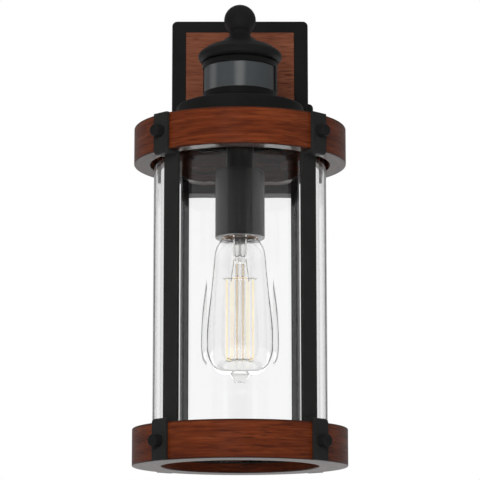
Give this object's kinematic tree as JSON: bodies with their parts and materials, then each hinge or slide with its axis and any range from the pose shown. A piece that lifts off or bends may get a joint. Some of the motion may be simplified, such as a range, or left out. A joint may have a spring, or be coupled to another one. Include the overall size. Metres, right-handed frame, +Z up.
{
  "type": "outdoor wall lantern",
  "caption": "Outdoor wall lantern: black back plate with a wooden panel, wooden rings joined by straps, clear glass cylinder, motion sensor and screw-in filament bulb.",
  "frame": {"origin": "centre of the back plate on the wall's plane", "axes": "+Z up, +Y into the wall, so the lantern stands out along -Y; +X to the viewer's right"},
  "size_m": [0.1778, 0.2039, 0.404],
  "materials": {
    "black_coat": "matte powder coat",
    "walnut": "stained, semi-gloss lacquer",
    "clear_glass": "clear",
    "bulb_glass": "clear",
    "sensor_lens": "translucent grey",
    "black_plastic": "fine texture",
    "steel": "zinc plated",
    "ground_green": "green dyed zinc",
    "brass": "bare",
    "base_metal": "bare",
    "solder": "dull",
    "black_glass": "fused",
    "porcelain": "glazed",
    "rubber": "soft",
    "foam": "closed cell foam",
    "filament": "fine wire",
    "wire_nickel": "drawn wire",
    "lead_insulation": "high temperature sleeve",
    "circuit_board": "solder mask",
    "relay_case": "moulded",
    "capacitor_sleeve": "shrink sleeve",
    "detector_can": "nickel plated can",
    "sensor_cell": "epoxy face"
  },
  "bodies": {
    "fixture": {"back_plate": "black_coat", "side_screw": "black_coat", "arm": "black_coat", "upper_strap_screws": "black_coat", "lower_strap_screws": "black_coat", "top_plate": "black_coat", "drum": "black_coat", "socket_neck": "black_coat", "socket_cup": "black_coat", "socket_ring": "black_coat", "sensor_roof": "black_coat", "finial": "black_coat", "strap_front_left": "black_coat", "strap_front_right": "black_coat", "strap_rear_left": "black_coat", "strap_rear_right": "black_coat", "top_plate_screws": "black_coat", "wood_panel": "walnut", "upper_ring": "walnut", "lower_ring": "walnut", "glass_cylinder": "clear_glass", "sensor_lens": "sensor_lens", "sensor_base": "black_plastic", "sensor_housing": "black_plastic", "potentiometers": "black_plastic", "mounting_bar": "steel", "panel_screws": "steel", "arm_screws": "steel", "drum_screws": "steel", "nipple": "steel", "nipple_nuts": "steel", "sensor_screws": "steel", "roof_screws": "steel", "ground_screw": "ground_green", "socket_shell": "brass", "socket_contact": "brass", "socket_porcelain": "porcelain", "glass_seat": "rubber", "glass_top_gasket": "rubber", "wall_gasket": "foam", "socket_leads": "lead_insulation", "sensor_board": "circuit_board", "relay": "relay_case", "capacitor": "capacitor_sleeve", "pir_detector": "detector_can", "light_sensor": "sensor_cell"},
    "bulb_tip": {"bulb_tip_contact": "solder"},
    "bulb": {"bulb_glass": "bulb_glass", "bulb_base": "base_metal", "bulb_insulator": "black_glass", "bulb_stem": "bulb_glass", "filament": "filament", "filament_supports": "wire_nickel", "lead_wires": "wire_nickel"},
    "time_dial": {"time_dial": "black_plastic"},
    "sensitivity_dial": {"sensitivity_dial": "black_plastic"}
  },
  "joints": [
    {"name": "bulb_feed", "type": "slide", "parent": "fixture", "child": "bulb_tip", "axis": [0, 0, -1], "range_m": [0, 0.02178]},
    {"name": "bulb_turn", "type": "hinge", "parent": "bulb_tip", "child": "bulb", "pos_m": [0, -0.115, -0.12], "axis": [0, 0, -1], "range_deg": [0, 2160]},
    {"name": "time_dial_turn", "type": "hinge", "parent": "fixture", "child": "time_dial", "pos_m": [0.01586, -0.08633, 0.00185], "axis": [0.225, 0.9744, 0], "range_deg": [-135, 135]},
    {"name": "sensitivity_dial_turn", "type": "hinge", "parent": "fixture", "child": "sensitivity_dial", "pos_m": [-0.00168, -0.08228, 0.00185], "axis": [0.225, 0.9744, 0], "range_deg": [-135, 135]}
  ],
  "couplings": [
    {"joint": "bulb_feed", "follows": "bulb_turn", "m_per_rad": 0.00057757}
  ]
}
